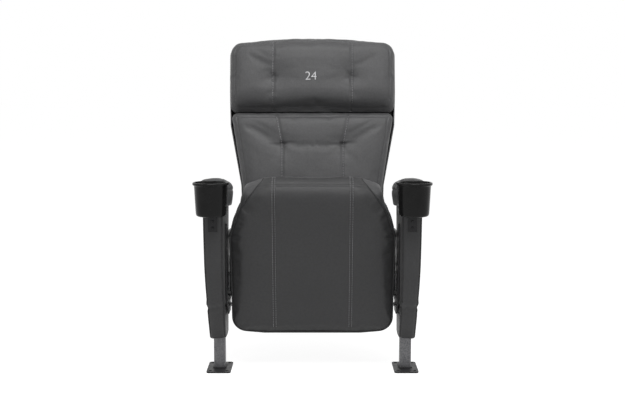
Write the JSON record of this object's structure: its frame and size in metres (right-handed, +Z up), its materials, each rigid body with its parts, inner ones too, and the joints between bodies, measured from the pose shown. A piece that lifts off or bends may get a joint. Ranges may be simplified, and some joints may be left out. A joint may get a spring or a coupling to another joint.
{
  "type": "cinema recliner seat",
  "caption": "Floor-mounted auditorium armchair with a tip-up seat, a rocking padded back with headrest, upholstered arm panels and cup holders.",
  "frame": {"origin": "on the floor, at the centre of the bounding box, with the seat tipped up", "axes": "+Z up, the sitter faces -Y, +X to the right of a viewer in front of the seat"},
  "size_m": [0.712, 0.5549, 1.0699],
  "materials": {
    "upholstery": "satin",
    "panel_upholstery": "satin",
    "black_steel": "satin",
    "post_steel": "satin",
    "cast_block": "satin",
    "zinc_steel": "satin",
    "cup_plastic": "gloss",
    "shell_plastic": "matte",
    "plywood": "matte",
    "nylon": "matte",
    "stop_rubber": "matte"
  },
  "bodies": {
    "stand": {"arm_panel_left": "panel_upholstery", "arm_panel_right": "panel_upholstery", "armrest_board_left": "plywood", "armrest_board_right": "plywood", "armrest_pad_left": "panel_upholstery", "armrest_pad_right": "panel_upholstery", "back_bushes": "nylon", "back_torsion_anchor": "zinc_steel", "back_torsion_bar": "zinc_steel", "cup_bracket_left": "black_steel", "cup_bracket_right": "black_steel", "cup_holder_left": "cup_plastic", "cup_holder_right": "cup_plastic", "cup_screws": "zinc_steel", "foot_plate_left": "black_steel", "foot_plate_right": "black_steel", "hinge_bolts": "zinc_steel", "hinge_plate_left": "black_steel", "hinge_plate_right": "black_steel", "hinge_spacers": "zinc_steel", "leg_post_left": "post_steel", "leg_post_right": "post_steel", "pivot_block_left": "cast_block", "pivot_block_right": "cast_block", "recline_stops": "stop_rubber", "seat_bushes": "nylon", "seat_stops": "stop_rubber", "seat_torsion_anchor": "zinc_steel", "seat_torsion_bar": "zinc_steel"},
    "seat": {"seat_arm_left": "black_steel", "seat_arm_right": "black_steel", "seat_board": "plywood", "seat_cushion": "upholstery", "seat_front_bar": "black_steel", "seat_pivot_pin_left": "zinc_steel", "seat_pivot_pin_right": "zinc_steel", "seat_pivot_tube": "black_steel", "seat_side_bar_left": "black_steel", "seat_side_bar_right": "black_steel", "seat_torsion_plug": "zinc_steel", "underside_pad": "upholstery"},
    "back": {"back_board": "plywood", "back_crank_left": "black_steel", "back_crank_right": "black_steel", "back_link_left": "black_steel", "back_link_right": "black_steel", "back_mid_rail": "black_steel", "back_pivot_pin_left": "zinc_steel", "back_pivot_pin_right": "zinc_steel", "back_pivot_tube": "black_steel", "back_shell": "shell_plastic", "back_top_rail": "black_steel", "back_torsion_plug": "zinc_steel", "back_upright_left": "black_steel", "back_upright_right": "black_steel", "headrest_cushion": "upholstery", "lumbar_cushion": "upholstery", "shell_screws": "zinc_steel"}
  },
  "joints": [
    {"name": "seat_tip", "type": "hinge", "parent": "stand", "child": "seat", "pos_m": [0, -0.0204, 0.293], "axis": [1, 0, 0], "range_deg": [0, 70], "stiffness_Nm_per_rad": 6.5, "springref_deg": -63.03},
    {"name": "back_recline", "type": "hinge", "parent": "stand", "child": "back", "pos_m": [0, 0.0676, 0.432], "axis": [-1, 0, 0], "range_deg": [0, 12], "stiffness_Nm_per_rad": 60, "springref_deg": -34.38}
  ]
}
